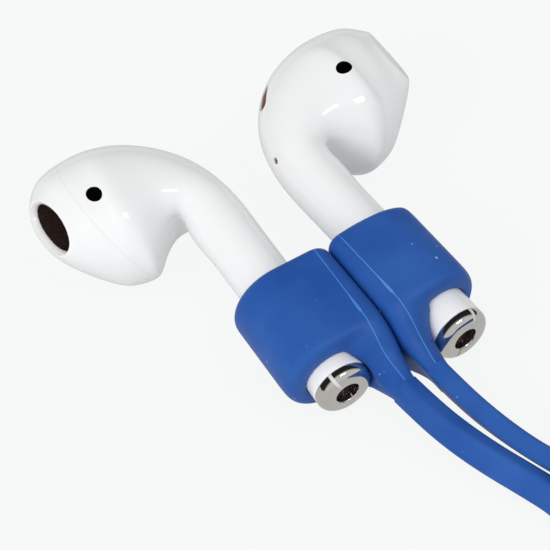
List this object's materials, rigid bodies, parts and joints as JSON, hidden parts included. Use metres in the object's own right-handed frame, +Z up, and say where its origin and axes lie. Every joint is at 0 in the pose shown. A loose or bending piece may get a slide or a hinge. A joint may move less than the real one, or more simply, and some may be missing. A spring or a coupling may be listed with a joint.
{
  "type": "stem earbuds on a neck strap",
  "caption": "Pair of wireless stem earbuds held side by side in the magnetic silicone sleeves of a neck strap.",
  "frame": {"origin": "middle of the bottom of the box of both earbuds and sleeves, on the surface they lie on; the free strap is left out", "axes": "+Z up, +Y along the stems towards the heads, +X to the right earbud's side; the strap leaves towards -Y"},
  "size_m": [0.0663, 0.0958, 0.0151],
  "materials": {
    "white_plastic": "polished white moulded plastic",
    "white_trim": "white moulded ring, satin",
    "black_window": "black infrared-clear window, polished",
    "sensor_chip": "moulded chip",
    "brown_mesh": "fine brown woven mesh",
    "dark_mesh": "fine dark mesh",
    "driver_steel": "pressed steel",
    "driver_plastic": "black moulded ring",
    "magnet": "nickel-plated magnet",
    "copper": "copper",
    "diaphragm_film": "thin polymer film",
    "circuit_board": "green circuit board",
    "contact_chrome": "polished plated contact",
    "carrier_plastic": "white insulating plastic",
    "microphone_can": "tinned can",
    "battery_can": "pin cell can",
    "blue_silicone": "matte blue silicone",
    "sleeve_magnet": "nickel-plated bar magnet",
    "tie_band": "matte blue silicone band"
  },
  "bodies": {
    "root": {"left_sleeve": "blue_silicone", "left_sleeve_magnet": "sleeve_magnet", "strap_left_strand": "blue_silicone", "strap_right_strand": "blue_silicone", "strap_coil": "blue_silicone", "strap_tie": "tie_band"},
    "left_bud": {"left_front_cover": "white_plastic", "left_rear_shell": "white_plastic", "left_sensor_window": "black_window", "left_sensor_chip": "sensor_chip", "left_rear_vent_mesh": "brown_mesh", "left_stem_vent_mesh": "brown_mesh", "left_nozzle_mesh": "brown_mesh", "left_nozzle_ring": "white_trim", "left_driver_basket": "driver_steel", "left_driver_magnet": "magnet", "left_driver_pole_plate": "driver_steel", "left_driver_front_ring": "driver_plastic", "left_main_board": "circuit_board", "left_inner_contact": "contact_chrome", "left_outer_contact": "contact_chrome", "left_tail_carrier": "carrier_plastic", "left_tail_mesh": "dark_mesh", "left_microphone": "microphone_can", "left_battery": "battery_can", "left_antenna_strip": "copper"},
    "right_sleeve": {"right_sleeve": "blue_silicone", "right_sleeve_magnet": "sleeve_magnet"},
    "right_bud": {"right_front_cover": "white_plastic", "right_rear_shell": "white_plastic", "right_sensor_window": "black_window", "right_sensor_chip": "sensor_chip", "right_rear_vent_mesh": "brown_mesh", "right_stem_vent_mesh": "brown_mesh", "right_nozzle_mesh": "brown_mesh", "right_nozzle_ring": "white_trim", "right_driver_basket": "driver_steel", "right_driver_magnet": "magnet", "right_driver_pole_plate": "driver_steel", "right_driver_front_ring": "driver_plastic", "right_main_board": "circuit_board", "right_inner_contact": "contact_chrome", "right_outer_contact": "contact_chrome", "right_tail_carrier": "carrier_plastic", "right_tail_mesh": "dark_mesh", "right_microphone": "microphone_can", "right_battery": "battery_can", "right_antenna_strip": "copper"},
    "left_diaphragm": {"left_voice_coil": "copper", "left_diaphragm": "diaphragm_film"},
    "right_diaphragm": {"right_voice_coil": "copper", "right_diaphragm": "diaphragm_film"}
  },
  "joints": [
    {"name": "left_bud_slide", "type": "slide", "parent": "root", "child": "left_bud", "axis": [0.0464, 0.9887, 0.1425], "range_m": [-0.005, 0.017]},
    {"name": "right_sleeve_slide", "type": "slide", "parent": "root", "child": "right_sleeve", "axis": [1, 0, 0], "range_m": [0, 0.008], "deforming": ["strap_right_strand"]},
    {"name": "right_bud_slide", "type": "slide", "parent": "right_sleeve", "child": "right_bud", "axis": [-0.0464, 0.9887, 0.1425], "range_m": [-0.0036, 0.0184]},
    {"name": "left_diaphragm_slide", "type": "slide", "parent": "left_bud", "child": "left_diaphragm", "axis": [-0.8844, 0.107, -0.4542], "range_m": [-0.0002, 0.0002], "stiffness_N_per_m": 400},
    {"name": "right_diaphragm_slide", "type": "slide", "parent": "right_bud", "child": "right_diaphragm", "axis": [0.8844, 0.107, -0.4542], "range_m": [-0.0002, 0.0002], "stiffness_N_per_m": 400}
  ]
}
